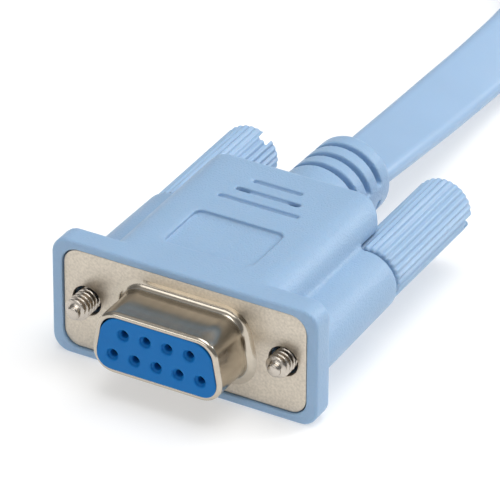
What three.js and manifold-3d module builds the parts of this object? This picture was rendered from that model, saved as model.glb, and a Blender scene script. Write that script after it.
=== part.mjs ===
// A console cable: a 9-way D-sub socket in a moulded hood with two thumbscrews, and a flat cable
// that ends in an 8-way modular plug. Millimetres, +Z up.
// Everything is drawn about the middle of the metal plate's front face: X across the connector,
// Y back along the cable, Z up. The group at the end sets the hood down on the floor.
import * as THREE from "three";
import { mergeVertices } from "three/addons/utils/BufferGeometryUtils.js";
import Module from "manifold-3d";

const wasm = await Module();
wasm.setup();

// General
const gap = 0.3; // left between pieces that touch
const past = 1; // how far a cutter runs past what it cuts

// D-sub connector
const screwSpacing = 24.99;
const plateEar = 2.91; // from a screw's middle to the plate's end
const plateWidth = screwSpacing + 2 * plateEar;
const plateHeight = 12.55;
const plateThickness = 0.8;
const plateCornerRadius = 2;
const plateHoleRadius = 1.85;
const shellWidth = 16.33;
const shellHeight = 7.9;
const shellCornerRadius = 2.6;
const shellDepth = 6.2;
const shellSheet = 0.4;
const shellLip = 0.85; // how far the shell's front edge turns in
const shellLipDepth = 0.7;
const shellEdgeRadius = 0.55;
const shellFootRadius = 0.7;
const sideSlope = THREE.MathUtils.degToRad(10);
const insulatorBackWidth = 18.2;
const insulatorBackHeight = 8.4;
const insulatorBackLength = 3.2;
const wayPitch = 2.77;
const rowSpacing = 2.84;
const wayRows = [{ ways: 5, side: -1 }, { ways: 4, side: 1 }];
const wayMouthRadius = 0.8;
const wayRadius = 0.55;
const wayMouthDepth = 0.5;
const wayDepth = 1.3;
const contactRadius = 0.75;
const contactBoreRadius = 0.5;
const contactBoreDepth = 6;
const contactTail = 0.8; // how far a contact stands out behind the insulator

// Hood
const frameRim = 1.445; // width of the hood's frame beside the plate
const flangeWidth = plateWidth + 2 * frameRim;
const flangeHeight = 14.8;
const flangeCornerRadius = 2.1;
const flangeBack = 2.75;
const frameProud = 0.25; // the hood's frame stands this far in front of the plate
const flangeEdge = 0.45;
const bodyWidth = 22.6;
const bodyBack = 25.15;
const bodyEdgeRadius = 3.2;
const bodyCornerRadius = 2;
const sleeveFootRadius = 4;
const sleeveEndRadius = 3.8;
const sleeveBack = 19.5;
const knobPocketRadius = 4.3;
const reliefFrontRadius = 5.2;
const reliefEndRadius = 4.9;
const reliefBack = 39.4;
const reliefEdge = 0.8;
const reliefSlotCount = 3;
const reliefSlotFront = 31.4;
const reliefSlotPitch = 2.6;
const reliefSlotWidth = 0.85;
const reliefSlotDepth = 0.85;
const reliefBridge = 2.1; // height of the solid web left between the upper and lower slots
const cableSocketDepth = 1.8;
const labelWidth = 10.85;
const labelFront = 5.2;
const labelBack = 12.4;
const labelDepth = 0.4;
const labelCornerRadius = 1;
const grooveCount = 3;
const grooveFront = 16.65;
const groovePitch = 2.25;
const grooveLength = 10.3; // of the front one
const grooveTaper = 2; // how much shorter each is than the one before
const grooveWidth = 0.75;
const grooveDepth = 0.35;
const pitLength = 1.3; // a pit at each end of the middle groove
const pitWidth = 0.5;
const pitDepth = 0.9;
const pitInset = 0.35;

// Thumbscrews: gap is the knob's distance behind its sleeve, tip the screw's reach past the plate
const thumbscrews = [
  { name: "left", side: -1, gap: 0.3, tip: 3.15, slotTurn: 53 },
  { name: "right", side: 1, gap: 0.8, tip: 2.28, slotTurn: -20 },
];
const knobRadius = 3.58;
const knobLength = 17.7;
const knobRibs = 28;
const knobRibHeight = 0.22;
const knobEndRadius = 1;
const knobEndSteps = 4;
const knobFrontEdge = 0.25;
const knobSlotWidth = 1.15;
const knobSlotDepth = 1.3;
const screwRadius = 1.42;
const screwTipRadius = 1;
const screwTipChamfer = 0.45;
const screwInKnob = 13.5;

// Flat cable
const cableWidth = 7.6;
const cableThickness = 2.4;
const cableLength = 1800; // from the strain relief to the modular plug
const cableStep = 4.5;
// Route from the strain relief to the hank: x, y, z and how far the cable has rolled, in degrees
const leadRoute = [
  [0.25, 38, 0, 4],
  [0.25, 41, -0.05, 7],
  [0.25, 46, -0.35, 11],
  [0.1, 52, -0.95, 15],
  [-0.1, 58, -1.6, 20],
  [-0.3, 64, -2.15, 24],
  [-0.4, 70, -2.6, 28],
  [-0.45, 76, -2.85, 32],
  [-0.6, 82.5, -3, 36],
  [-1.2, 88.3, -3.05, 41],
  [-3, 93.7, -3.1, 46],
  [-5.5, 98.2, -3.1, 52],
  [-7.75, 101.3, -3.05, 58],
  [-10.8, 107.5, -2.9, 69],
  [-12.7, 114, -2.75, 80],
  [-13.4, 120, -2.7, 88],
  [-13.5, 123, -2.7, 90],
  [-13.5, 125, -2.7, 90],
];
// Route from the hank's inner end to the plug
const tailRoute = [
  [2.7, 125, -2.7, 90],
  [2.9, 128.5, -2.7, 90],
  [3.9, 133, -2.65, 90],
  [6.5, 137.8, -2.5, 90],
  [10.9, 142.1, -2.25, 90],
  [15.2, 146.4, -2, 90],
  [17.9, 151.7, -1.75, 90],
  [18.9, 157.2, -1.6, 90],
  [19, 161.6, -1.56, 90],
];
const hankTurns = 6;
const hankPitch = 2.7; // from one turn to the next
const hankCentreX = 21;
const hankFrontY = 123; // middle of the bends nearest the connector
const tieThickness = 0.6;
const tieWidth = 5;

// Modular plug, lying on its side
const plugWidth = 11.68;
const plugLength = 21.5;
const plugHeight = 6.6;
const plugNoseLength = 8.6;
const plugNoseHeight = 6;
const plugStepLength = 1;
const plugMouthDepth = 2.6;
const plugWays = 8;
const plugWayPitch = 1.02;
const bladeThickness = 0.3;
const bladeLength = 5.2;
const bladeHeight = 3.4;
const bladeSlotWidth = 0.8;
const bladeFromNose = 0.9;
const bladeSink = 0.5; // below the plug's face
const latchWidth = 6;
const latchThickness = 0.8;
const latchLength = 14;
const latchLift = 2.4; // at the latch's free end

// Worked out from the sizes above
const screwX = screwSpacing / 2;
const floorZ = -flangeHeight / 2;
const frontY = -shellDepth;
const middleY = (frontY + reliefBack) / 2;
const reliefSlots = Array.from({ length: reliefSlotCount }, (_, i) => reliefSlotFront + i * reliefSlotPitch);
const grooves = Array.from({ length: grooveCount }, (_, i) =>
  ({ y: grooveFront + i * groovePitch, length: grooveLength - i * grooveTaper }));
const middleGroove = grooves[Math.floor(grooveCount / 2)];
const hankBottomZ = floorZ + tieThickness + gap;
const hankStart = leadRoute.at(-1);
const hankOuterRadius = hankCentreX - hankStart[0];
const hankInnerRadius = hankOuterRadius - hankTurns * hankPitch;

// Closed geometry to a solid that can be joined and cut
function solid(geometry) {
  let g = geometry.clone();
  g.deleteAttribute("normal");
  g.deleteAttribute("uv");
  g = mergeVertices(g, 1e-4);
  const vertProperties = new Float32Array(g.attributes.position.array);
  const triVerts = new Uint32Array(g.index.array);
  return new wasm.Manifold(new wasm.Mesh({ numProp: 3, vertProperties, triVerts }));
}

function geometryOf(manifold) {
  const mesh = manifold.getMesh();
  const g = new THREE.BufferGeometry();
  g.setAttribute("position", new THREE.BufferAttribute(new Float32Array(mesh.vertProperties), 3));
  g.setIndex(new THREE.BufferAttribute(new Uint32Array(mesh.triVerts), 1));
  g.computeVertexNormals();
  return g;
}

const joined = (parts) => parts.reduce((a, b) => a.add(b));
const cutBy = (part, cutters) => cutters.reduce((a, b) => a.subtract(b), part);

// A plain box from its lowest to its highest corner
function block(low, high) {
  const g = new THREE.BoxGeometry(high[0] - low[0], high[1] - low[1], high[2] - low[2]);
  g.translate((low[0] + high[0]) / 2, (low[1] + high[1]) / 2, (low[2] + high[2]) / 2);
  return solid(g);
}

// A shape drawn in X and Z, run from y0 to y1, with an optional rounded edge at both ends
function alongY(shape, y0, y1, edge = 0, edgeSteps = 3) {
  const g = new THREE.ExtrudeGeometry(shape, {
    depth: y1 - y0 - 2 * edge,
    bevelEnabled: edge > 0,
    bevelThickness: edge,
    bevelSize: edge,
    bevelOffset: -edge,
    bevelSegments: edgeSteps,
    curveSegments: 6,
  });
  g.rotateX(Math.PI / 2);
  g.translate(0, y1 - edge, 0);
  return solid(g);
}

// A shape drawn in X and Y, run from z0 to z1
function alongZ(shape, z0, z1, curveSegments = 6) {
  const g = new THREE.ExtrudeGeometry(shape, { depth: z1 - z0, bevelEnabled: false, curveSegments });
  g.translate(0, 0, z0);
  return solid(g);
}

// A profile of [radius, y] points turned about the line through x, z along Y
function turned(profile, x, z, sides) {
  const points = profile.map(([r, y]) => new THREE.Vector2(r, y));
  const g = new THREE.LatheGeometry(points, sides);
  g.translate(x, 0, z);
  return solid(g);
}

function rod(radius, y0, y1, x, z, sides = 24) {
  return turned([[0, y0], [radius, y0], [radius, y1], [0, y1]], x, z, sides);
}

// A rectangle with round corners about the middle of x0..x1 and y0..y1
function roundedBox(x0, x1, y0, y1, radius) {
  const s = new THREE.Shape();
  s.moveTo(x0 + radius, y0);
  s.lineTo(x1 - radius, y0);
  s.absarc(x1 - radius, y0 + radius, radius, -Math.PI / 2, 0);
  s.lineTo(x1, y1 - radius);
  s.absarc(x1 - radius, y1 - radius, radius, 0, Math.PI / 2);
  s.lineTo(x0 + radius, y1);
  s.absarc(x0 + radius, y1 - radius, radius, Math.PI / 2, Math.PI);
  s.lineTo(x0, y0 + radius);
  s.absarc(x0 + radius, y0 + radius, radius, Math.PI, 1.5 * Math.PI);
  return s;
}

const centredBox = (width, height, radius) =>
  roundedBox(-width / 2, width / 2, -height / 2, height / 2, radius);

// The D outline, its long side down, drawn in from the shell's outside by inset
function dShape(inset) {
  const radius = Math.max(shellCornerRadius - inset, 0.3);
  const halfHeight = shellHeight / 2 - inset;
  const high = halfHeight - radius;
  const lowReach = shellWidth / 2 - inset - radius;
  const highReach = lowReach - 2 * high * Math.tan(sideSlope);
  const s = new THREE.Shape();
  s.moveTo(-lowReach, -halfHeight);
  s.lineTo(lowReach, -halfHeight);
  s.absarc(lowReach, -high, radius, -Math.PI / 2, sideSlope);
  s.absarc(highReach, high, radius, sideSlope, Math.PI / 2);
  s.lineTo(-highReach, halfHeight);
  s.absarc(-highReach, high, radius, Math.PI / 2, Math.PI - sideSlope);
  s.absarc(-lowReach, -high, radius, Math.PI - sideSlope, 1.5 * Math.PI);
  return s;
}

const wayPlaces = wayRows.flatMap(({ ways, side }) =>
  Array.from({ length: ways }, (_, i) => [(i - (ways - 1) / 2) * wayPitch, (side * rowSpacing) / 2]));

function connectorShell() {
  const foot = alongY(dShape(-shellFootRadius), -shellFootRadius, plateThickness, shellFootRadius);
  const outside = [
    alongY(centredBox(plateWidth, plateHeight, plateCornerRadius), 0, plateThickness),
    alongY(dShape(0), frontY, plateThickness, shellEdgeRadius),
    foot.subtract(block([-plateWidth, plateThickness, -plateHeight], [plateWidth, 2 * past, plateHeight])),
  ];
  const inside = [
    alongY(dShape(shellSheet), frontY + shellLipDepth, plateThickness + past),
    alongY(dShape(shellLip), frontY - past, plateThickness),
    ...thumbscrews.map((t) => rod(plateHoleRadius, -past, plateThickness + past, t.side * screwX, 0)),
  ];
  return cutBy(joined(outside), inside);
}

function insulator() {
  const backStart = plateThickness + gap;
  const back = backStart + insulatorBackLength;
  const middle = alongY(dShape(shellSheet + gap), frontY + shellLipDepth + gap, backStart + past);
  const nose = alongY(dShape(shellLip + gap), frontY, backStart);
  const rear = alongY(centredBox(insulatorBackWidth, insulatorBackHeight, 1), backStart, back);
  const seat = contactRadius + gap;
  const ways = wayPlaces.map(([x, z]) => turned([
    [0, frontY - past],
    [wayMouthRadius, frontY - past],
    [wayMouthRadius, frontY],
    [wayRadius, frontY + wayMouthDepth],
    [wayRadius, frontY + wayDepth],
    [seat, frontY + wayDepth],
    [seat, back + past],
    [0, back + past],
  ], x, z, 12));
  return cutBy(joined([middle, nose, rear]), ways);
}

function socketContact([x, z]) {
  const front = frontY + wayDepth + gap;
  const back = plateThickness + gap + insulatorBackLength + contactTail;
  return turned([
    [contactBoreRadius, front],
    [contactRadius, front],
    [contactRadius, back],
    [0, back],
    [0, front + contactBoreDepth],
    [contactBoreRadius, front + contactBoreDepth],
    [contactBoreRadius, front],
  ], x, z, 12);
}

// The half rings cut into the strain relief, above and below
function reliefCutters() {
  const web = [[-2 * reliefFrontRadius, 0, -reliefBridge / 2], [2 * reliefFrontRadius, 0, reliefBridge / 2]];
  return reliefSlots.map((y) => {
    const y0 = y - reliefSlotWidth / 2;
    const y1 = y + reliefSlotWidth / 2;
    const radiusHere = THREE.MathUtils.mapLinear(y, bodyBack, reliefBack, reliefFrontRadius, reliefEndRadius);
    const inner = radiusHere - reliefSlotDepth;
    const outer = reliefFrontRadius + past;
    const ring = turned([[inner, y0], [outer, y0], [outer, y1], [inner, y1], [inner, y0]], 0, 0, 36);
    const [low, high] = web;
    return ring.subtract(block([low[0], y0 - past, low[2]], [high[0], y1 + past, high[2]]));
  });
}

function grooveShape(y, length) {
  const half = grooveWidth / 2;
  return roundedBox(-length / 2, length / 2, y - half, y + half, half - 0.01);
}

function hood() {
  const top = flangeHeight / 2;
  const frameFront = -frameProud;
  const halfBody = bodyWidth / 2;
  const plan = new THREE.Shape();
  plan.moveTo(-halfBody, flangeBack / 2);
  plan.lineTo(halfBody, flangeBack / 2);
  plan.lineTo(halfBody, bodyBack - bodyCornerRadius);
  plan.absarc(halfBody - bodyCornerRadius, bodyBack - bodyCornerRadius, bodyCornerRadius, 0, Math.PI / 2);
  plan.lineTo(-halfBody + bodyCornerRadius, bodyBack);
  plan.absarc(
    -halfBody + bodyCornerRadius, bodyBack - bodyCornerRadius, bodyCornerRadius, Math.PI / 2, Math.PI);
  const section = centredBox(bodyWidth, flangeHeight, bodyEdgeRadius);
  const body = alongY(section, 0, bodyBack + past).intersect(alongZ(plan, -top - past, top + past));
  const pocketed = cutBy(body, thumbscrews.map((t) =>
    rod(knobPocketRadius, sleeveBack, bodyBack + past, t.side * screwX, 0, 36)));
  const sleeve = (side) => turned([
    [0, flangeBack / 2],
    [sleeveFootRadius, flangeBack / 2],
    [sleeveEndRadius, sleeveBack],
    [0, sleeveBack],
  ], side * screwX, 0, 36);
  const relief = turned([
    [0, bodyBack - past],
    [reliefFrontRadius, bodyBack - past],
    [reliefEndRadius, reliefBack - reliefEdge],
    [reliefEndRadius - 0.3 * reliefEdge, reliefBack - 0.3 * reliefEdge],
    [reliefEndRadius - reliefEdge, reliefBack],
    [0, reliefBack],
  ], 0, 0, 36);
  const flange = alongY(
    centredBox(flangeWidth, flangeHeight, flangeCornerRadius), frameFront, flangeBack, flangeEdge);
  const whole = joined([flange, pocketed, relief, ...thumbscrews.map((t) => sleeve(t.side))]);
  const backPocket = centredBox(insulatorBackWidth + 2 * gap, insulatorBackHeight + 2 * gap, 1);
  const backPocketEnd = plateThickness + 2 * gap + insulatorBackLength + contactTail;
  const pits = [-1, 1].map((end) => {
    const { y, length } = middleGroove;
    const x = end * (length / 2 - pitLength / 2 - pitInset);
    const shape = roundedBox(x - pitLength / 2, x + pitLength / 2, y - pitWidth / 2, y + pitWidth / 2, 0.2);
    return alongZ(shape, top - grooveDepth - pitDepth, top + past, 3);
  });
  const cutters = [
    alongY(centredBox(plateWidth + 2 * gap, plateHeight + 2 * gap, plateCornerRadius + gap),
      frameFront - past, plateThickness + gap),
    alongY(backPocket, 0, backPocketEnd),
    ...thumbscrews.map((t) => rod(plateHoleRadius, 0, sleeveBack + past, t.side * screwX, 0)),
    ...reliefCutters(),
    alongY(centredBox(cableWidth + 2 * gap, cableThickness + 2 * gap, cableThickness / 2 + gap - 0.01),
      reliefBack - cableSocketDepth, reliefBack + past),
    alongZ(roundedBox(-labelWidth / 2, labelWidth / 2, labelFront, labelBack, labelCornerRadius),
      top - labelDepth, top + past),
    ...grooves.map(({ y, length }) => alongZ(grooveShape(y, length), top - grooveDepth, top + past)),
    ...pits,
  ];
  return cutBy(whole, cutters);
}

function knob({ side, gap: standOff, slotTurn }) {
  const x = side * screwX;
  const front = sleeveBack + standOff;
  const back = front + knobLength;
  const ribbed = new THREE.Shape();
  const root = knobRadius - knobRibHeight;
  const radii = [root, root, knobRadius, knobRadius];
  for (let i = 0; i < knobRibs * radii.length; i++) {
    const turn = (2 * Math.PI * i) / (knobRibs * radii.length);
    const r = radii[i % radii.length];
    ribbed[i ? "lineTo" : "moveTo"](r * Math.cos(turn), r * Math.sin(turn));
  }
  const round = Array.from({ length: knobEndSteps + 1 }, (_, i) => {
    const a = (i / knobEndSteps) * (Math.PI / 2);
    const r = knobRadius - knobEndRadius * (1 - Math.cos(a));
    return [r, back - knobEndRadius * (1 - Math.sin(a))];
  });
  const envelope = turned([
    [0, front],
    [knobRadius - knobFrontEdge, front],
    [knobRadius, front + knobFrontEdge],
    ...round,
    [0, back],
  ], 0, 0, 48);
  const slot = block(
    [-2 * knobRadius, back - knobSlotDepth, -knobSlotWidth / 2],
    [2 * knobRadius, back + past, knobSlotWidth / 2]);
  const bore = rod(screwRadius + gap, front - past, front + screwInKnob + gap, 0, 0);
  const shape = alongY(ribbed, front - past, back + past).intersect(envelope);
  return cutBy(shape, [slot.rotate([0, -slotTurn, 0]), bore]).translate([x, 0, 0]);
}

function jackscrew({ side, gap: standOff, tip }) {
  return turned([
    [0, -tip],
    [screwTipRadius, -tip],
    [screwRadius, -tip + screwTipChamfer],
    [screwRadius, sleeveBack + standOff + screwInKnob],
    [0, sleeveBack + standOff + screwInKnob],
  ], side * screwX, 0, 20);
}

// The middle line of a stretch of cable. Its frames turn the flat section by the route's roll.
class CableLine extends THREE.CatmullRomCurve3 {
  constructor(route) {
    super(route.map(([x, y, z]) => new THREE.Vector3(x, y, z)), false, "catmullrom", 0.5);
    this.rolls = route.map((point) => THREE.MathUtils.degToRad(point[3]));
    this.arcLengthDivisions = 400;
  }

  rollAt(t) {
    const place = t * (this.rolls.length - 1);
    const before = Math.min(Math.floor(place), this.rolls.length - 2);
    return THREE.MathUtils.lerp(this.rolls[before], this.rolls[before + 1], place - before);
  }

  computeFrenetFrames(steps) {
    const up = new THREE.Vector3(0, 0, 1);
    const frames = { tangents: [], normals: [], binormals: [] };
    for (let i = 0; i <= steps; i++) {
      const t = this.getUtoTmapping(i / steps);
      const ahead = this.getTangent(t);
      const turn = this.rollAt(t);
      const right = new THREE.Vector3().crossVectors(ahead, up).normalize();
      const down = new THREE.Vector3().crossVectors(ahead, right);
      const across = right.clone().multiplyScalar(Math.cos(turn)).addScaledVector(down, Math.sin(turn));
      frames.tangents.push(ahead);
      frames.normals.push(across);
      frames.binormals.push(new THREE.Vector3().crossVectors(ahead, across));
    }
    return frames;
  }
}

function alongRoute(section, route) {
  const extrudePath = new CableLine(route);
  const steps = Math.round(extrudePath.getLength() / cableStep);
  return solid(new THREE.ExtrudeGeometry(section, { steps, extrudePath }));
}

// The flat cable's section: half circles at both edges
function cableSection() {
  const half = cableThickness / 2;
  const reach = cableWidth / 2 - half;
  const steps = 5;
  const s = new THREE.Shape();
  for (const side of [1, -1]) {
    for (let i = 0; i <= steps; i++) {
      const a = Math.PI * (i / steps - 0.5);
      const draw = i + side === 1 ? "moveTo" : "lineTo";
      s[draw](side * (reach + half * Math.cos(a)), side * half * Math.sin(a));
    }
  }
  return s;
}

// What the hank leaves free for the cable that joins it: the section grown by the gap, or from
// there to well clear of the turns on the side named by away, 1 or -1
function cableSlot(away = 0) {
  const x = cableWidth / 2 + gap + Math.abs(away) * past;
  const y = cableThickness / 2 + gap;
  const near = away ? -away * y : -y;
  const far = away ? away * hankPitch * 3 : y;
  const low = Math.min(near, far);
  const high = Math.max(near, far);
  const corners = [[-x, low], [x, low], [x, high], [-x, high]];
  return new THREE.Shape(corners.map(([a, b]) => new THREE.Vector2(a, b)));
}

// A route with one of its points moved along Y
function moved(route, index, shift) {
  const [x, y, z, roll] = route.at(index);
  return route.with(index, [x, y + shift, z, roll]);
}

// How long the hank's straight runs are, so that the whole cable has its length
function hankRun() {
  const inSocket = reliefBack - leadRoute[0][1];
  const lead = new CableLine(leadRoute).getLength() - inSocket;
  const tail = new CableLine(tailRoute).getLength();
  const bends = Math.PI * hankTurns * (hankOuterRadius + hankInnerRadius);
  return (cableLength - lead - tail - bends) / (2 * hankTurns);
}

function hankOutline(radius, run) {
  const s = new THREE.Shape();
  s.moveTo(hankCentreX + radius, hankFrontY);
  s.lineTo(hankCentreX + radius, hankFrontY + run);
  s.absarc(hankCentreX, hankFrontY + run, radius, 0, Math.PI);
  s.lineTo(hankCentreX - radius, hankFrontY);
  s.absarc(hankCentreX, hankFrontY, radius, Math.PI, 2 * Math.PI);
  return s;
}

function cableHank() {
  const run = hankRun();
  const half = cableThickness / 2;
  const top = hankBottomZ + cableWidth;
  const ring = alongZ(hankOutline(hankOuterRadius + half, run), hankBottomZ, top, 20)
    .subtract(alongZ(hankOutline(hankInnerRadius - half, run), hankBottomZ - past, top + past, 20));
  const onEdge = (route) => route.map(([x, y, z]) => [x, y, z, 90]);
  return cutBy(ring, [
    alongRoute(cableSlot(), leadRoute),
    alongRoute(cableSlot(1), onEdge(leadRoute)),
    alongRoute(cableSlot(-1), onEdge(tailRoute)),
  ]);
}

// A flat tie round the turns on one side of the hank
function hankTie(side) {
  const half = cableThickness / 2 + gap;
  const inner = hankCentreX + side * (hankInnerRadius - half);
  const outer = hankCentreX + side * (hankOuterRadius + half);
  const x0 = Math.min(inner, outer);
  const x1 = Math.max(inner, outer);
  const y0 = hankFrontY + hankRun() / 2 - tieWidth / 2;
  const z1 = hankBottomZ + cableWidth + gap;
  const outside = block(
    [x0 - tieThickness, y0, floorZ], [x1 + tieThickness, y0 + tieWidth, z1 + tieThickness]);
  return outside.subtract(block([x0, y0 - past, floorZ + tieThickness], [x1, y0 + tieWidth + past, z1]));
}

// The modular plug is drawn flat, nose along +Y and its ways across X, then laid on its side
const plugRearY = tailRoute.at(-1)[1] - plugMouthDepth + gap;
const plugCentre = [tailRoute.at(-1)[0], tailRoute.at(-1)[2]];

function layPlug(part) {
  return part.rotate([0, 90, 0]).translate([plugCentre[0], plugRearY, plugCentre[1]]);
}

const plugWayPlaces = Array.from({ length: plugWays }, (_, i) => (i - (plugWays - 1) / 2) * plugWayPitch);

// A side view of [y, z] points, made width wide about x = 0
function acrossX(outline, width) {
  const shape = new THREE.Shape(outline.map(([y, z]) => new THREE.Vector2(y, z)));
  const g = new THREE.ExtrudeGeometry(shape, { depth: width, bevelEnabled: false });
  g.rotateX(Math.PI / 2);
  g.rotateZ(Math.PI / 2);
  g.translate(-width / 2, 0, 0);
  return solid(g);
}

function plugBody() {
  const top = plugHeight / 2;
  const noseTop = plugNoseHeight - top;
  const main = acrossX([
    [0, -top],
    [plugLength, -top],
    [plugLength, noseTop],
    [plugLength - plugNoseLength, noseTop],
    [plugLength - plugNoseLength - plugStepLength, top],
    [0, top],
  ], plugWidth);
  const latch = acrossX([
    [plugLength, latchThickness - top],
    [plugLength, -top],
    [plugLength - latchThickness, -top - latchThickness],
    [plugLength - latchLength, -top - latchThickness - latchLift],
    [plugLength - latchLength, -top - latchLift],
    [plugLength - 2 * latchThickness, -top],
    [plugLength - 2 * latchThickness, latchThickness - top],
  ], latchWidth);
  const mouth = alongY(
    centredBox(cableWidth + 2 * gap, cableThickness + 2 * gap, cableThickness / 2 + gap - 0.01),
    -past, plugMouthDepth);
  const slotRear = plugLength - bladeFromNose - bladeLength - gap;
  const slots = plugWayPlaces.map((x) => block(
    [x - bladeSlotWidth / 2, slotRear, noseTop - bladeSink - bladeHeight - gap],
    [x + bladeSlotWidth / 2, plugLength + past, noseTop + past]));
  return layPlug(cutBy(main.add(latch), [mouth, ...slots]));
}

function plugContact(x) {
  const noseTop = plugNoseHeight - plugHeight / 2;
  return layPlug(block(
    [x - bladeThickness / 2, plugLength - bladeFromNose - bladeLength, noseTop - bladeSink - bladeHeight],
    [x + bladeThickness / 2, plugLength - bladeFromNose, noseTop - bladeSink]));
}

const pvc = { color: 0xa5c3de, roughness: 0.55, metalness: 0 };
const steel = { color: 0xc3bcae, roughness: 0.3, metalness: 1 };
const insulatorBlue = { color: 0x1f6fb8, roughness: 0.5, metalness: 0 };
const gold = { color: 0xd8b45a, roughness: 0.25, metalness: 1 };
const clear = { color: 0xe6edf0, roughness: 0.15, metalness: 0, transparent: true, opacity: 0.5 };
const tiePlastic = { color: 0x20242a, roughness: 0.6, metalness: 0 };

const part = new THREE.Group();
part.position.set(0, -middleY, -floorZ);

function add(name, manifold, look) {
  const mesh = new THREE.Mesh(geometryOf(manifold), new THREE.MeshStandardMaterial(look));
  mesh.name = name;
  part.add(mesh);
}

add("hood", hood(), pvc);
add("connector_shell", connectorShell(), steel);
add("insulator", insulator(), insulatorBlue);
wayPlaces.forEach((place, i) => add(`socket_contact_${i + 1}`, socketContact(place), gold));
thumbscrews.forEach((t) => {
  add(`${t.name}_jackscrew`, jackscrew(t), steel);
  add(`${t.name}_knob`, knob(t), pvc);
});
add("flat_cable_lead", alongRoute(cableSection(), moved(leadRoute, -1, -gap)), pvc);
add("flat_cable_hank", cableHank(), pvc);
add("flat_cable_tail", alongRoute(cableSection(), moved(tailRoute, 0, gap)), pvc);
add("hank_tie_left", hankTie(-1), tiePlastic);
add("hank_tie_right", hankTie(1), tiePlastic);
add("plug_body", plugBody(), clear);
plugWayPlaces.forEach((x, i) => add(`plug_contact_${i + 1}`, plugContact(x), gold));

export default part;
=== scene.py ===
import math

import bmesh
import bpy
import numpy as np
import openvdb
from mathutils import Matrix, Vector


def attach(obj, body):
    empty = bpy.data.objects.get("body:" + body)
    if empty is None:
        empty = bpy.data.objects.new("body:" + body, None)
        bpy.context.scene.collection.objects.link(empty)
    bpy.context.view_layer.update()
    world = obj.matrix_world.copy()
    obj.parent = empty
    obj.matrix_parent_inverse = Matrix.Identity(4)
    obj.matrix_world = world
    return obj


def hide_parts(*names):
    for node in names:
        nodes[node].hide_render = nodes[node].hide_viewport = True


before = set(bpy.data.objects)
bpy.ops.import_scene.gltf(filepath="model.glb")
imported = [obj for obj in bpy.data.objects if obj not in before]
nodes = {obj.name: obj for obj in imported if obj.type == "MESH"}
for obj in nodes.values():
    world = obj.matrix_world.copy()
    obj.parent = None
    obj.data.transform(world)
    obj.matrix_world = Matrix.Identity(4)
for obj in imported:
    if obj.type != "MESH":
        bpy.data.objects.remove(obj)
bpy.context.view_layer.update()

# Pieces are drawn in millimetres about the middle of the plate's front face: X across, Y back, Z up.
MM = 0.001
SHIFT = np.array([0.0, -16.6, 7.4])

# For each screw: how far its knob stands off the sleeve, how far its point stands out in front of
# the plate, and how its slot is turned, in degrees
SCREW_X = 12.495
SCREWS = {
    "left": {"side": -1, "gap": 0.3, "tip": 3.15, "slot": 53},
    "right": {"side": 1, "gap": 0.8, "tip": 2.28, "slot": -15},
}
SLEEVE_BACK = 19.5
CABLE_WIDTH = 7.6
CABLE_THICKNESS = 2.4
CABLE_LENGTH = 1800.0
RELIEF_BACK = 39.4

# Camera, at the photograph's angle
CAMERA_PLACE = (0.248454, -0.444233, 0.323206)
CAMERA_RIGHT = (0.87094326, 0.49137308, 0.00321615)
CAMERA_UP = (-0.26052083, 0.45619567, 0.85089036)
CAMERA_BACK = (0.41663742, -0.7419151, 0.52533346)
CAMERA_SENSOR = 36
CAMERA_LENS = 383.33

camera = bpy.data.objects.new("camera", bpy.data.cameras.new("camera"))
bpy.context.collection.objects.link(camera)
camera_turn = Matrix((CAMERA_RIGHT, CAMERA_UP, CAMERA_BACK)).transposed()
camera.matrix_world = Matrix.Translation(CAMERA_PLACE) @ camera_turn.to_4x4()
camera.data.sensor_width = CAMERA_SENSOR
camera.data.lens = CAMERA_LENS
camera.data.clip_start = 0.05
camera.data.clip_end = 20
bpy.context.scene.camera = camera


# Mesh helpers
def in_frame(points):
    """Millimetres about the plate to metres in the part's frame."""
    return (np.asarray(points, float) + SHIFT) * MM


def new_object(name, verts, faces):
    mesh = bpy.data.meshes.new(name)
    mesh.from_pydata(in_frame(verts).tolist(), [], faces)
    mesh.validate()
    mesh.polygons.foreach_set("use_smooth", [True] * len(mesh.polygons))
    obj = bpy.data.objects.new(name, mesh)
    bpy.context.collection.objects.link(obj)
    return obj


def loft(rings, cap=True):
    """Faces between rings of the same number of points, capped at both ends or else joined up."""
    count = len(rings[0])
    verts = np.concatenate(rings)
    faces = []
    for i in range(len(rings) - 1 if cap else len(rings)):
        a, b = i * count, (i + 1) % len(rings) * count
        for j in range(count):
            k = (j + 1) % count
            faces.append((a + j, a + k, b + k, b + j))
    if cap:
        faces.append(tuple(range(count))[::-1])
        faces.append(tuple(range((len(rings) - 1) * count, len(rings) * count)))
    return verts, faces


def round_ring(x, y, radius, angles):
    """A ring at y about a line that runs back from x, with one radius or one for each angle."""
    return np.stack([x + radius * np.cos(angles), np.full(len(angles), float(y)), radius * np.sin(angles)], 1)


def outward(obj, weld=0.0):
    """The object with its faces turned outward, after points closer than weld are joined."""
    bm = bmesh.new()
    bm.from_mesh(obj.data)
    if weld > 0:
        bmesh.ops.remove_doubles(bm, verts=bm.verts, dist=weld)
    bmesh.ops.recalc_face_normals(bm, faces=bm.faces)
    bm.to_mesh(obj.data)
    bm.free()
    return obj


def worked_out(obj):
    """A new mesh of an object, with its curve filled or its modifiers applied."""
    bpy.context.view_layer.update()
    return bpy.data.meshes.new_from_object(obj.evaluated_get(bpy.context.evaluated_depsgraph_get()))


# Distance fields, in millimetres: below zero inside. An edge is rounded by its radius.
def both(a, b, edge=0.0):
    if edge <= 0:
        return np.maximum(a, b)
    return (
        np.minimum(np.maximum(a, b) + edge, 0)
        + np.hypot(np.maximum(a + edge, 0), np.maximum(b + edge, 0))
        - edge
    )


def either(a, b, edge=0.0):
    return -both(-a, -b, edge)


def less(a, b, edge=0.0):
    return both(a, -b, edge)


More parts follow.
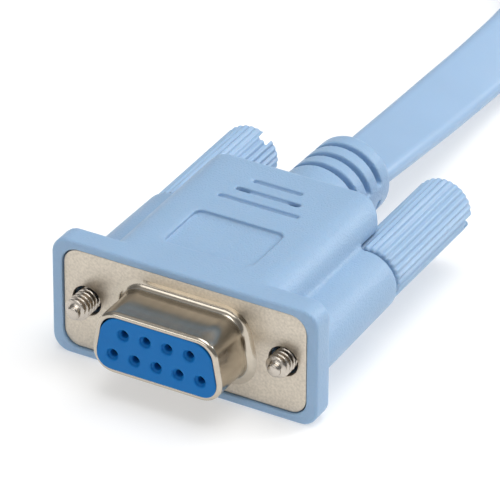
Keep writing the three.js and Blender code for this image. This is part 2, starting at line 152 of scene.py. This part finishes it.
def rounded(u, v, half_u, half_v, radius):
    a = np.abs(u) - (half_u - radius)
    b = np.abs(v) - (half_v - radius)
    return np.minimum(np.maximum(a, b), 0) + np.hypot(np.maximum(a, 0), np.maximum(b, 0)) - radius


def between(y, low, high):
    return np.maximum(low - y, y - high)


def rise(value, start, run):
    """0 up to the start, and 1 from a run further on."""
    return np.clip((value - start) / run, 0, 1)


def surface(name, field, low, high, cell, merge):
    """The zero surface of a distance field, on a grid of that cell, with flat parts merged."""
    low = np.array(low, float)
    count = np.ceil((np.array(high, float) - low) / cell).astype(int) + 1
    axes = [low[i] + cell * np.arange(count[i]) for i in range(3)]
    x = axes[0][:, None, None]
    y = axes[1][None, :, None]
    z = axes[2][None, None, :]
    values = np.broadcast_to(field(x, y, z), tuple(count))
    grid = openvdb.FloatGrid(4.0)
    grid.copyFromArray(np.ascontiguousarray(values / cell, dtype=np.float32))
    points, tris, quads = grid.convertToPolygons(0.0, merge)
    faces = [tuple(f[::-1]) for f in tris.tolist() + quads.tolist()]
    return outward(new_object(name, low + points * cell, faces))


# Cable: where it runs, as x, y, z and its roll in degrees, then its flat section swept along it
LEAD = [
    [0.25, 38, 0, 4], [0.25, 41, -0.05, 7], [0.25, 46, -0.35, 11], [0.1, 52, -0.95, 15],
    [-0.1, 58, -1.6, 20], [-0.3, 64, -2.15, 24], [-0.4, 70, -2.6, 28], [-0.45, 76, -2.85, 32],
    [-0.6, 82.5, -3, 36], [-1.2, 88.3, -3.05, 41], [-3, 93.7, -3.1, 46], [-5.5, 98.2, -3.1, 52],
    [-7.75, 101.3, -3.05, 58], [-10.8, 107.5, -2.9, 69], [-12.7, 114, -2.75, 80],
    [-13.4, 120, -2.7, 88], [-13.5, 123, -2.7, 90], [-13.5, 125, -2.7, 90],
]
TAIL = [
    [2.7, 125, -2.7, 90], [2.9, 128.5, -2.7, 90], [3.9, 133, -2.65, 90], [6.5, 137.8, -2.5, 90],
    [10.9, 142.1, -2.25, 90], [15.2, 146.4, -2, 90], [17.9, 151.7, -1.75, 90],
    [18.9, 157.2, -1.6, 90], [19, 161.6, -1.56, 90],
]
EXIT_X = LEAD[0][0]
HANK_TURNS = 6
HANK_PITCH = 2.7
HANK_X = 21.0
HANK_FRONT = 123.0
HANK_Z = LEAD[-1][2]
HANK_OUTER = HANK_X - LEAD[-1][0]
HANK_INNER = HANK_OUTER - HANK_TURNS * HANK_PITCH
ON_EDGE = 90
ROUTE_STEPS = 5
MEASURE_STEPS = 60
SIDE_POINTS = 8
BEND_POINTS = 26
EDGE_STEPS = 8


def smooth_route(route, parts):
    """Points of the curve through a route, with the roll after x, y and z."""
    p = np.array(route, float)
    p = np.vstack([2 * p[0] - p[1], p, 2 * p[-1] - p[-2]])
    t = np.linspace(0, 1, parts, endpoint=False)[:, None]
    out = []
    for i in range(1, len(p) - 2):
        a, b, c, d = p[i - 1], p[i], p[i + 1], p[i + 2]
        out.append(
            b
            + 0.5 * (c - a) * t
            + (a - 2.5 * b + 2 * c - 0.5 * d) * t**2
            + (-0.5 * a + 1.5 * b - 1.5 * c + 0.5 * d) * t**3
        )
    return np.vstack(out + [p[-2][None]])


def run_of(points):
    return float(np.linalg.norm(np.diff(points[:, :3], axis=0), axis=1).sum())


# The straight sides of the wound turns take up what is left of the cable's length.
ends_run = sum(run_of(smooth_route(route, MEASURE_STEPS)) for route in (LEAD, TAIL))
bends_run = math.pi * HANK_TURNS * (HANK_OUTER + HANK_INNER)
side_run = (CABLE_LENGTH + RELIEF_BACK - LEAD[0][1] - ends_run - bends_run) / (2 * HANK_TURNS)
hank_back = HANK_FRONT + side_run


def hank_points():
    """The wound turns, each half turn a little tighter than the one before."""
    out = []
    radius = HANK_OUTER
    for i in range(HANK_TURNS):
        start = LEAD[-1][1] if i == 0 else HANK_FRONT
        for y in np.linspace(start, hank_back, SIDE_POINTS)[1 if i == 0 else 0 : -1]:
            out.append([HANK_X - radius, y, HANK_Z, ON_EDGE])
        for side in (0, 1):
            middle = HANK_FRONT if side else hank_back
            for j in range(BEND_POINTS):
                part = j / BEND_POINTS
                r = radius - HANK_PITCH / 2 * part
                angle = math.pi * (1 - part - side)
                out.append([HANK_X + r * math.cos(angle), middle + r * math.sin(angle), HANK_Z, ON_EDGE])
            radius -= HANK_PITCH / 2
            if side == 0:
                for y in np.linspace(hank_back, HANK_FRONT, SIDE_POINTS)[:-1]:
                    out.append([HANK_X + radius, y, HANK_Z, ON_EDGE])
    out.append([HANK_X - radius, HANK_FRONT, HANK_Z, ON_EDGE])
    return np.array(out)


def cable_section():
    """The cable's flat section, with round edges."""
    half = CABLE_THICKNESS / 2
    reach = CABLE_WIDTH / 2 - half
    out = []
    for side in (1, -1):
        for i in range(EDGE_STEPS + 1):
            a = math.pi * (i / EDGE_STEPS - 0.5)
            out.append((side * (reach + half * math.cos(a)), side * half * math.sin(a)))
        out.append((0.0, side * half))
    return np.array(out)


def sweep(line, section):
    """Rings of the section along a line, turned by the line's roll."""
    points = line[:, :3]
    ahead = np.gradient(points, axis=0)
    ahead /= np.linalg.norm(ahead, axis=1)[:, None]
    rolls = np.radians(line[:, 3])[:, None]
    level = np.cross(ahead, [0.0, 0.0, 1.0])
    level /= np.linalg.norm(level, axis=1)[:, None]
    down = np.cross(ahead, level)
    across = level * np.cos(rolls) + down * np.sin(rolls)
    over = np.cross(ahead, across)
    return [p + section[:, :1] * a + section[:, 1:] * o for p, a, o in zip(points, across, over)]


cable_line = np.vstack([smooth_route(LEAD, ROUTE_STEPS), hank_points(), smooth_route(TAIL, ROUTE_STEPS)])
cable = outward(new_object("flat_cable", *loft(sweep(cable_line, cable_section()))))
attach(cable, "cable")
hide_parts("flat_cable_lead", "flat_cable_hank", "flat_cable_tail")

# Hood: the flange round the plate, the body, the screws' sleeves and the strain relief
HOOD_FRONT = -0.25
HOOD_HALF_HEIGHT = 7.4
FLANGE_HALF_WIDTH = 16.85
FLANGE_BACK = 2.75
BODY_HALF_WIDTH = 11.3
BODY_FRONT = 0.5
PLAN_MIDDLE = 5.15
PLAN_HALF = (11.9, 20)
SLEEVE_RADIUS = 4.05
SLEEVE_TAPER = 0.25
POCKET_RADIUS = 3.86
RELIEF_FRONT = 20
RELIEF_RADIUS = 5.25
RELIEF_TAPER = 0.35
RELIEF_TAPER_FRONT = 25

# What is cut into it. A floor is a height, and a half is half a width and half a height or length.
RELIEF_SLOTS = (31.4, 34.0, 36.6)
RELIEF_SLOT_HALF = 0.45
RELIEF_SLOT_DEPTH = 0.9
RELIEF_BRIDGE_HALF = 1.05
LABEL_MIDDLE = 8.93
LABEL_HALF = (5.63, 3.95)
LABEL_FLOOR = 6.9
GROOVES = ((16.65, 5.15), (18.9, 4.15), (21.15, 3.15))
GROOVE_HALF = 0.375
GROOVE_FLOOR = 6.95
PIT_PLACE = (3.2, 18.9)
PIT_HALF = (0.7, 0.36)
PIT_FLOOR = 5.7
RECESS_HALF = (15.5, 6.37)
RECESS_BACK = 1.1
CAVITY_HALF = (9.4, 4.5)
CAVITY_BACK = 5.8
BORE_RADIUS = 1.85
BORE_BACK = 20
MOUTH_FRONT = 37.65
MOUTH_GAP = 0.1
MOUTH_CORNER = 1.29
MOUTH_LEAN = math.radians(5)


def hood_field(x, y, z):
    # Outside
    off_screw = np.hypot(np.abs(x) - SCREW_X, z)
    section = rounded(x, z, BODY_HALF_WIDTH, HOOD_HALF_HEIGHT, radius=3.2)
    plan = rounded(x, y - PLAN_MIDDLE, *PLAN_HALF, radius=2.6)
    body = both(both(section, plan, edge=0.55), BODY_FRONT - y)
    body = less(body, both(off_screw - POCKET_RADIUS, SLEEVE_BACK - y), edge=0.12)
    sleeve_radius = SLEEVE_RADIUS - SLEEVE_TAPER * (y - FLANGE_BACK) / (SLEEVE_BACK - FLANGE_BACK)
    hull = either(body, both(off_screw - sleeve_radius, y - SLEEVE_BACK, edge=0.35), edge=1.0)
    flange = rounded(x, z, FLANGE_HALF_WIDTH, HOOD_HALF_HEIGHT, radius=2.1)
    hull = np.minimum(hull, both(flange, between(y, HOOD_FRONT, FLANGE_BACK), edge=0.35))
    hull = both(hull, HOOD_FRONT - y)
    off_middle = np.hypot(x, z)
    taper_run = RELIEF_BACK - RELIEF_TAPER_FRONT
    relief_radius = RELIEF_RADIUS - RELIEF_TAPER * (y - RELIEF_TAPER_FRONT) / taper_run
    relief = both(off_middle - relief_radius, y - RELIEF_BACK, edge=0.8)
    hull = either(hull, both(relief, RELIEF_FRONT - y), edge=0.4)

    # Slots, label recess, grooves and pits
    slot_floor = relief_radius - RELIEF_SLOT_DEPTH - off_middle
    for place in RELIEF_SLOTS:
        ring = both(np.abs(y - place) - RELIEF_SLOT_HALF, slot_floor, edge=0.15)
        hull = less(hull, both(ring, RELIEF_BRIDGE_HALF - np.abs(z), edge=0.3), edge=0.14)
    label = rounded(x, y - LABEL_MIDDLE, *LABEL_HALF, radius=1.0)
    hull = less(hull, both(label, LABEL_FLOOR - z, edge=0.1), edge=0.05)
    for place, half in GROOVES:
        groove = rounded(x, y - place, half, GROOVE_HALF, radius=0.37)
        hull = less(hull, both(groove, GROOVE_FLOOR - z, edge=0.12), edge=0.05)
    pits = rounded(np.abs(x) - PIT_PLACE[0], y - PIT_PLACE[1], *PIT_HALF, radius=0.33)
    hull = less(hull, both(pits, PIT_FLOOR - z, edge=0.1), edge=0.06)

    # Room for the plate, the shell, the screws and the cable
    hull = less(hull, both(rounded(x, z, *RECESS_HALF, radius=2.05), y - RECESS_BACK), edge=0.12)
    hull = less(hull, both(rounded(x, z, *CAVITY_HALF, radius=1.3), y - CAVITY_BACK))
    hull = less(hull, both(off_screw - BORE_RADIUS, between(y, 0, BORE_BACK)))
    u = (x - EXIT_X) * math.cos(MOUTH_LEAN) - z * math.sin(MOUTH_LEAN)
    v = (x - EXIT_X) * math.sin(MOUTH_LEAN) + z * math.cos(MOUTH_LEAN)
    mouth = rounded(u, v, CABLE_WIDTH / 2 + MOUTH_GAP, CABLE_THICKNESS / 2 + MOUTH_GAP, MOUTH_CORNER)
    return less(hull, both(mouth, MOUTH_FRONT - y), edge=0.15)


hood = surface("moulded_hood", hood_field, (-17.3, -0.7, -7.9), (17.3, 39.9, 7.9), cell=0.16, merge=0.02)
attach(hood, "cable")
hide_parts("hood")

# Thumbscrews: the knob, with its ribs, the hollow round its screw and the slot in its rear end
KNOB_RADIUS = 3.58
KNOB_LENGTH = 17.9
KNOB_RIBS = 28
KNOB_RIB_POINTS = 12
KNOB_RIB_DEPTH = 0.22
KNOB_RIB_SHARPNESS = 0.7
KNOB_FRONT_EDGE = [(-0.3, 0, 0.8), (-0.22, 0.03, 0.9), (-0.06, 0.14, 1)]
KNOB_SIDE_START = 0.3
KNOB_END_ROUND = 0.65
KNOB_END_FLAT = 0.6
KNOB_BORE = (1.5, 13.8)
KNOB_SLOT_WIDTH = 1.35
KNOB_SLOT_DEPTH = 1.55
KNOB_SHARP = math.radians(52)


def ribbed_knob(name, spec):
    """A ribbed knob round its screw, with a slot cut across its rear end."""
    x = spec["side"] * SCREW_X
    front = SLEEVE_BACK + spec["gap"]
    rear = front + KNOB_LENGTH
    bore, bore_depth = KNOB_BORE
    angles = np.linspace(0, 2 * math.pi, KNOB_RIBS * KNOB_RIB_POINTS, endpoint=False)
    crests = (0.5 + 0.5 * np.cos(KNOB_RIBS * angles)) ** KNOB_RIB_SHARPNESS
    valleys = KNOB_RIB_DEPTH * (1 - crests)

    # Radius, place and how deep the ribs are there, from inside the bore out and back to the rear
    side_end = rear - KNOB_END_ROUND
    profile = [(bore, front + bore_depth, 0), (bore, front, 0)]
    profile += [(KNOB_RADIUS + out, front + back, ribs) for out, back, ribs in KNOB_FRONT_EDGE]
    profile += [(KNOB_RADIUS, y, 1) for y in np.linspace(front + KNOB_SIDE_START, side_end, 8)]
    for a in np.linspace(0, math.pi / 2, 7)[1:]:
        inset = KNOB_END_ROUND * (1 - math.cos(a))
        profile.append((KNOB_RADIUS - inset, side_end + KNOB_END_ROUND * math.sin(a), math.cos(a) ** 2))
    profile.append((KNOB_RADIUS - KNOB_END_ROUND - KNOB_END_FLAT, rear, 0))
    rings = [round_ring(x, y, radius - valleys * ribs, angles) for radius, y, ribs in profile]
    knob = outward(new_object(name, *loft(rings)))

    lean = math.radians(spec["slot"])
    along = np.array([math.cos(lean), 0, math.sin(lean)]) * 2 * KNOB_RADIUS
    over = np.array([-math.sin(lean), 0, math.cos(lean)]) * KNOB_SLOT_WIDTH / 2
    corners = np.array([along + over, over - along, -along - over, along - over])
    ends = [corners + [x, y, 0] for y in (rear - KNOB_SLOT_DEPTH, rear + 1)]
    cutter = outward(new_object("slot_cutter", *loft(ends)))
    cut = knob.modifiers.new("slot", "BOOLEAN")
    cut.operation = "DIFFERENCE"
    cut.solver = "EXACT"
    cut.object = cutter
    mesh = worked_out(knob)
    knob.modifiers.clear()
    knob.data = mesh
    bpy.data.objects.remove(cutter)
    mesh.set_sharp_from_angle(angle=KNOB_SHARP)
    return knob


# The screw, with a plain point. The crest of its thread takes up a share of each turn.
SCREW_PITCH = 0.635
SCREW_RADIUS = 1.42
SCREW_ROOT = 0.94
POINT_RADIUS = 0.8
POINT_LENGTH = 0.42
POINT_END_RADIUS = 0.62
POINT_END_SLOPE = 1.2
THREAD_START_RUN = 0.4
THREAD_END = 6.0
THREAD_STEPS = 15
THREAD_FLANK = (0.24, 0.6)
SHANK_RADIUS = 1.2
SHANK_FRONT = THREAD_END + 0.1
SHANK_IN_KNOB = 13.5
SCREW_POINTS = 48
SCREW_SHARP = math.radians(40)


def threaded_screw(name, spec):
    """A screw with a plain point, a thread out of the plate and a plain shank into its knob."""
    x = spec["side"] * SCREW_X
    tip = -spec["tip"]
    turns = np.linspace(0, 1, SCREW_POINTS, endpoint=False)
    angles = 2 * math.pi * turns
    rings = []
    for y in np.arange(tip, THREAD_END, SCREW_PITCH / THREAD_STEPS):
        wave = np.abs(((y - tip) / SCREW_PITCH - turns) % 1 - 0.5) * 2
        start = rise(y, tip + POINT_LENGTH, THREAD_START_RUN)
        root = POINT_RADIUS + (SCREW_ROOT - POINT_RADIUS) * start
        radius = root + (SCREW_RADIUS - root) * rise(wave, *THREAD_FLANK) * start
        radius = np.minimum(radius, POINT_END_RADIUS + POINT_END_SLOPE * (y - tip))
        rings.append(round_ring(x, y, radius, angles))
    for y in (SHANK_FRONT, SLEEVE_BACK + spec["gap"] + SHANK_IN_KNOB):
        rings.append(round_ring(x, y, SHANK_RADIUS, angles))
    screw = outward(new_object(name, *loft(rings)))
    screw.data.set_sharp_from_angle(angle=SCREW_SHARP)
    return screw


knobs, screws = [], []
for name, spec in SCREWS.items():
    knob = ribbed_knob(f"{name}_ribbed_knob", spec)
    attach(knob, f"{name}_thumbscrew")
    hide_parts(f"{name}_knob")
    screw = threaded_screw(f"{name}_threaded_screw", spec)
    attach(screw, f"{name}_thumbscrew")
    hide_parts(f"{name}_jackscrew")
    knobs.append(knob)
    screws.append(screw)

# D-sub front: a plate with two screw holes, and the drawn D in front of it
D_HALF_WIDTH = 16.33 / 2
D_HALF_HEIGHT = 3.95
D_CORNER = 2.6
D_SLOPE = math.radians(10)
D_CORNER_POINTS = 14
D_STEP = 0.8
SHELL_FOOT = 1.45
SHELL_FOOT_BACK = 0.4
SHELL_FOOT_ROUND = 0.8
SHELL_SIDE = (1.3, 5.5)
SHELL_EDGE_FRONT = 5.7
SHELL_EDGE_ROUND = 0.42
PLATE_SIZE = (30.81, 12.55)
PLATE_CORNER = 2.0
PLATE_THICKNESS = 0.8
PLATE_BEVEL = 0.1
PLATE_SHARP = math.radians(50)
SCREW_HOLE_RADIUS = 1.82
SCREW_HOLE_POINTS = 40


def d_outline():
    """Points of the D, with the direction that faces out of it."""
    high = D_HALF_HEIGHT - D_CORNER
    low_reach = D_HALF_WIDTH - D_CORNER
    high_reach = low_reach - 2 * high * math.tan(D_SLOPE)
    corners = [
        (low_reach, -high, -math.pi / 2, D_SLOPE),
        (high_reach, high, D_SLOPE, math.pi / 2),
        (-high_reach, high, math.pi / 2, math.pi - D_SLOPE),
        (-low_reach, -high, math.pi - D_SLOPE, 1.5 * math.pi),
    ]
    points, facing = [], []
    for cx, cz, a0, a1 in corners:
        for a in np.linspace(a0, a1, D_CORNER_POINTS):
            points.append((cx + D_CORNER * math.cos(a), cz + D_CORNER * math.sin(a)))
            facing.append((math.cos(a), math.sin(a)))
    points, facing = np.array(points), np.array(facing)
    full, out = [], []
    for i in range(len(points)):
        j = (i + 1) % len(points)
        steps = max(1, int(np.linalg.norm(points[j] - points[i]) / D_STEP))
        for s in range(steps):
            full.append(points[i] + (points[j] - points[i]) * s / steps)
            n = facing[i] + (facing[j] - facing[i]) * s / steps
            out.append(n / np.linalg.norm(n))
    return np.array(full), np.array(out)


d_points, d_facing = d_outline()


def d_ring(inset, y):
    """The D at y, drawn in by an inset."""
    flat = d_points - d_facing * inset
    return np.stack([flat[:, 0], np.full(len(flat), float(y)), flat[:, 1]], 1)


def shell_rings():
    """From the foot on the plate, out along the side, round the front edge and back inside."""
    quarter = np.linspace(0, math.pi / 2, 8)
    rings = [d_ring(-SHELL_FOOT, 0.03), d_ring(-1.1, 0.0), d_ring(-0.9, -0.01)]
    for a in quarter:
        rings.append(d_ring(SHELL_FOOT_ROUND * (math.sin(a) - 1), -0.72 + 0.7 * math.cos(a)))
    rings += [d_ring(0.02, -y) for y in np.linspace(*SHELL_SIDE, 6)]
    for a in quarter:
        inset = SHELL_EDGE_ROUND * (1 - math.cos(a))
        rings.append(d_ring(inset, -SHELL_EDGE_FRONT - SHELL_EDGE_ROUND * math.sin(a)))
    rings += [d_ring(0.56, -6.12), d_ring(0.62, -6.05), d_ring(0.62, -5.6), d_ring(0.52, -5.5)]
    return rings + [d_ring(0.52, SHELL_FOOT_BACK), d_ring(-SHELL_FOOT, SHELL_FOOT_BACK)]


def plate_outline():
    """The plate's outline, with round corners."""
    half_width, half_height = (size / 2 - PLATE_CORNER for size in PLATE_SIZE)
    out = []
    for cx, cz, a0 in ((1, -1, -0.5), (1, 1, 0), (-1, 1, 0.5), (-1, -1, 1)):
        for a in np.linspace(a0 * math.pi, (a0 + 0.5) * math.pi, 8):
            x = cx * half_width + PLATE_CORNER * math.cos(a)
            out.append((x, cz * half_height + PLATE_CORNER * math.sin(a)))
    return out


def flat_plate(name, outlines, thickness, bevel):
    """A flat sheet behind the plate's front face, with holes, its edges rounded."""
    curve = bpy.data.curves.new(name, "CURVE")
    curve.dimensions = "2D"
    curve.fill_mode = "BOTH"
    curve.extrude = thickness / 2 - bevel
    curve.bevel_depth = bevel
    curve.bevel_resolution = 2
    curve.offset = -bevel
    for outline in outlines:
        line = curve.splines.new("POLY")
        line.points.add(len(outline) - 1)
        for point, (x, z) in zip(line.points, outline):
            point.co = (x, z, 0, 1)
        line.use_cyclic_u = True
    obj = bpy.data.objects.new(name + "_curve", curve)
    bpy.context.collection.objects.link(obj)
    mesh = worked_out(obj)
    bpy.data.objects.remove(obj)
    co = np.zeros(len(mesh.vertices) * 3)
    mesh.vertices.foreach_get("co", co)
    co = co.reshape(-1, 3)
    placed = np.stack([co[:, 0], thickness / 2 + co[:, 2], co[:, 1]], 1)
    faces = [tuple(p.vertices) for p in mesh.polygons]
    bpy.data.meshes.remove(mesh)
    made = outward(new_object(name, placed, faces), weld=1e-7)
    made.data.set_sharp_from_angle(angle=PLATE_SHARP)
    return made


tube = outward(new_object("drawn_shell", *loft(shell_rings(), cap=False)))
circle = np.linspace(0, 2 * math.pi, SCREW_HOLE_POINTS, endpoint=False)[::-1]
hole = [(SCREW_HOLE_RADIUS * math.cos(a), SCREW_HOLE_RADIUS * math.sin(a)) for a in circle]
holes = [[(side * SCREW_X + x, z) for x, z in hole] for side in (-1, 1)]
plate = flat_plate("front_plate", [plate_outline()] + holes, PLATE_THICKNESS, PLATE_BEVEL)
for piece in (tube, plate):
    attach(piece, "cable")
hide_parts("connector_shell")

# Insulator, with a mouth at each way that narrows in two steps before the throat
WAY_PITCH = 2.77
ROW_Z = 1.42
WAYS = [((i - 2) * WAY_PITCH, -ROW_Z) for i in range(5)] + [((i - 1.5) * WAY_PITCH, ROW_Z) for i in range(4)]
INSULATOR_INSET = 0.58
INSULATOR_CORNER = 2.1
INSULATOR_WIDEST_Z = -1.6
INSULATOR_FRONT = -6.2
INSULATOR_BACK = 0.6
WAY_MOUTH_RADIUS = 0.8
WAY_MOUTH_STEPS = ((0.12, INSULATOR_FRONT, 0.15), (0.22, -5.95, 0.2))
THROAT_RADIUS = 1.0
THROAT_FRONT = -4.95


def insulator_field(x, y, z):
    half_width = D_HALF_WIDTH - INSULATOR_INSET
    side = (np.abs(x) - half_width + (z - INSULATOR_WIDEST_Z) * math.tan(D_SLOPE)) * math.cos(D_SLOPE)
    outline = both(side, np.abs(z) - (D_HALF_HEIGHT - INSULATOR_INSET), edge=INSULATOR_CORNER)
    shape = both(outline, between(y, INSULATOR_FRONT, INSULATOR_BACK), edge=0.06)
    off_way = np.hypot(x - WAYS[0][0], z - WAYS[0][1])
    for way_x, way_z in WAYS[1:]:
        off_way = np.minimum(off_way, np.hypot(x - way_x, z - way_z))
    mouth = WAY_MOUTH_RADIUS
    for narrower, start, run in WAY_MOUTH_STEPS:
        mouth = mouth - narrower * rise(y, start, run)
    return less(shape, off_way - np.where(y > THROAT_FRONT, THROAT_RADIUS, mouth), edge=0.04)


insulator_low, insulator_high = (-8.2, -6.5, -4.2), (8.2, 0.9, 4.2)
insulator = surface("d_insulator", insulator_field, insulator_low, insulator_high, cell=0.08, merge=0.02)
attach(insulator, "cable")
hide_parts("insulator")


# Materials
def material(name, color, roughness, metallic=0.0):
    mat = bpy.data.materials.new(name)
    mat.use_nodes = True
    tree = mat.node_tree
    shader = tree.nodes["Principled BSDF"]
    shader.inputs["Base Color"].default_value = (*color, 1)
    shader.inputs["Roughness"].default_value = roughness
    shader.inputs["Metallic"].default_value = metallic
    place = tree.nodes.new("ShaderNodeTexCoord")
    return mat, tree, shader, place.outputs["Object"]


def noise(tree, place, scale, detail):
    made = tree.nodes.new("ShaderNodeTexNoise")
    made.inputs["Scale"].default_value = scale
    made.inputs["Detail"].default_value = detail
    tree.links.new(place, made.inputs["Vector"])
    return made.outputs["Fac"]


def remap(tree, value, low, high, start=0.0, end=1.0):
    made = tree.nodes.new("ShaderNodeMapRange")
    made.inputs["From Min"].default_value = start
    made.inputs["From Max"].default_value = end
    made.inputs["To Min"].default_value = low
    made.inputs["To Max"].default_value = high
    tree.links.new(value, made.inputs["Value"])
    return made.outputs["Result"]


def tint(tree, shader, value, color, spread):
    """The colour, a share darker and lighter by the value."""
    made = tree.nodes.new("ShaderNodeMix")
    made.data_type = "RGBA"
    made.inputs["A"].default_value = (*[c * (1 - spread) for c in color], 1)
    made.inputs["B"].default_value = (*[min(1, c * (1 + spread)) for c in color], 1)
    tree.links.new(value, made.inputs["Factor"])
    tree.links.new(made.outputs["Result"], shader.inputs["Base Color"])


def bump(tree, shader, value, height):
    made = tree.nodes.new("ShaderNodeBump")
    made.inputs["Distance"].default_value = height
    tree.links.new(value, made.inputs["Height"])
    tree.links.new(made.outputs["Normal"], shader.inputs["Normal"])


def moulded(name, color, roughness, grain, height, specular=0.42):
    """Moulded plastic with a fine grain of that scale and height, in metres."""
    mat, tree, shader, place = material(name, color, roughness)
    tint(tree, shader, noise(tree, place, scale=160, detail=4), color, spread=0.04)
    bump(tree, shader, noise(tree, place, grain, detail=2), height)
    worn = remap(tree, noise(tree, place, scale=420, detail=3), roughness - 0.05, roughness + 0.06)
    tree.links.new(worn, shader.inputs["Roughness"])
    shader.inputs["Specular IOR Level"].default_value = specular
    shader.inputs["Subsurface Weight"].default_value = 0.2
    shader.inputs["Subsurface Radius"].default_value = (0.3, 0.7, 1.0)
    shader.inputs["Subsurface Scale"].default_value = 0.0008
    return mat


def metal(name, color, roughness, streak=(1, 1, 1), spread=0.2):
    """Metal with fine streaks, stretched along the axes where the streak's scale is small."""
    mat, tree, shader, place = material(name, color, roughness, metallic=1.0)
    stretch = tree.nodes.new("ShaderNodeMapping")
    stretch.inputs["Scale"].default_value = streak
    tree.links.new(place, stretch.inputs["Vector"])
    lines = noise(tree, stretch.outputs["Vector"], scale=900, detail=4)
    clouds = noise(tree, place, scale=260, detail=4)
    tree.links.new(remap(tree, clouds, roughness - 0.07, roughness + 0.1), shader.inputs["Roughness"])
    tint(tree, shader, lines, color, spread)
    bump(tree, shader, lines, height=0.000012)
    return mat


def clear_plastic(name, color, roughness):
    mat, tree, shader, place = material(name, color, roughness)
    shader.inputs["Transmission Weight"].default_value = 0.85
    shader.inputs["IOR"].default_value = 1.58
    bump(tree, shader, noise(tree, place, scale=300, detail=2), height=0.00001)
    return mat


def paint(pieces, mat):
    for piece in pieces:
        piece.data.materials.clear()
        piece.data.materials.append(mat)


HOOD_BLUE = (0.285, 0.432, 0.618)
KNOB_BLUE = (0.318, 0.466, 0.65)
CABLE_BLUE = (0.308, 0.452, 0.64)
INSULATOR_BLUE = (0.003, 0.158, 0.465)
PLATE_NICKEL = (0.6, 0.54, 0.455)
SHELL_NICKEL = (0.54, 0.485, 0.405)
SCREW_NICKEL = (0.56, 0.51, 0.45)
CONTACT_GOLD = (0.75, 0.52, 0.2)
TIE_BLACK = (0.02, 0.022, 0.026)
PLUG_CLEAR = (0.93, 0.96, 0.97)

contacts = [nodes[f"socket_contact_{i}"] for i in range(1, 10)]
contacts += [nodes[f"plug_contact_{i}"] for i in range(1, 9)]
ties = [nodes[f"hank_tie_{side}"] for side in ("left", "right")]
paint([hood], moulded("moulded_pvc", HOOD_BLUE, 0.43, grain=4600, height=0.00007))
paint(knobs, moulded("knob_pvc", KNOB_BLUE, 0.42, grain=4600, height=0.000015))
paint([cable], moulded("cable_pvc", CABLE_BLUE, 0.42, grain=2600, height=0.000008))
paint([insulator], moulded("insulator_pbt", INSULATOR_BLUE, 0.5, grain=4200, height=0.00002, specular=0.22))
paint([plate], metal("nickel_plate", PLATE_NICKEL, 0.38, streak=(4, 4, 4), spread=0.3))
paint([tube], metal("nickel_shell", SHELL_NICKEL, 0.19, streak=(1.5, 0.06, 1.5), spread=0.12))
paint(screws, metal("nickel_screw", SCREW_NICKEL, 0.24))
paint(contacts, metal("contact_gold", CONTACT_GOLD, 0.28))
paint(ties, moulded("tie_plastic", TIE_BLACK, 0.5, grain=3000, height=0.00001))
paint([nodes["plug_body"]], clear_plastic("clear_plastic", PLUG_CLEAR, 0.08))

# The ties' edges are rounded once their points are joined.
TIE_EDGE = 0.00025
for tie in ties:
    tie.modifiers.new("joined", "WELD").merge_threshold = 1e-6
    softer = tie.modifiers.new("edges", "BEVEL")
    softer.width = TIE_EDGE
    softer.segments = 3

# Floor, lights and the room's light. Places and sizes are in metres.
FLOOR_HALF = 6.0
FLOOR_GREY = (0.6, 0.6, 0.6)
FLOOR_GLOW = 0.42
AIM = (0, 0, 0.008)
LIGHTS = {
    "overhead": {"place": (0.15, 0.1, 1.0), "size": (0.8, 0.8), "power": 7.2},
    "back_right": {"place": (0.6, 0.78, 0.46), "size": (0.4, 0.3), "power": 5.2},
    "front": {"place": (-0.25, -1.0, 0.5), "size": (0.8, 0.5), "power": 2.6},
}
SKY_HEIGHTS = (0.5, 0.95)
SKY_STRENGTHS = (0.2, 0.55)


def floor():
    mesh = bpy.data.meshes.new("floor")
    corners = [(x * FLOOR_HALF, y * FLOOR_HALF, 0) for x, y in ((-1, -1), (1, -1), (1, 1), (-1, 1))]
    mesh.from_pydata(corners, [], [(0, 1, 2, 3)])
    obj = bpy.data.objects.new("floor", mesh)
    bpy.context.collection.objects.link(obj)
    mat, tree, shader, place = material("floor_white", FLOOR_GREY, roughness=0.9)
    tint(tree, shader, noise(tree, place, scale=3, detail=2), FLOOR_GREY, spread=0.01)
    shader.inputs["Emission Color"].default_value = (1, 1, 1, 1)
    shader.inputs["Emission Strength"].default_value = FLOOR_GLOW
    paint([obj], mat)


def area_light(name, place, size, power):
    data = bpy.data.lights.new(name, "AREA")
    data.shape = "RECTANGLE"
    data.size, data.size_y = size
    data.energy = power
    obj = bpy.data.objects.new(name, data)
    bpy.context.collection.objects.link(obj)
    obj.location = place
    obj.rotation_euler = (Vector(AIM) - Vector(place)).to_track_quat("-Z", "Y").to_euler()


def studio():
    """A white room that is brighter overhead."""
    world = bpy.data.worlds.new("studio")
    world.use_nodes = True
    tree = world.node_tree
    place = tree.nodes.new("ShaderNodeTexCoord")
    height = tree.nodes.new("ShaderNodeSeparateXYZ")
    tree.links.new(place.outputs["Generated"], height.inputs["Vector"])
    strength = remap(tree, height.outputs["Z"], *SKY_STRENGTHS, *SKY_HEIGHTS)
    background = tree.nodes["Background"]
    tree.links.new(strength, background.inputs["Strength"])
    background.inputs["Color"].default_value = (1, 1, 1, 1)
    bpy.context.scene.world = world


floor()
for name, spec in LIGHTS.items():
    area_light(name, **spec)
studio()
bpy.context.scene.view_settings.view_transform = "Standard"
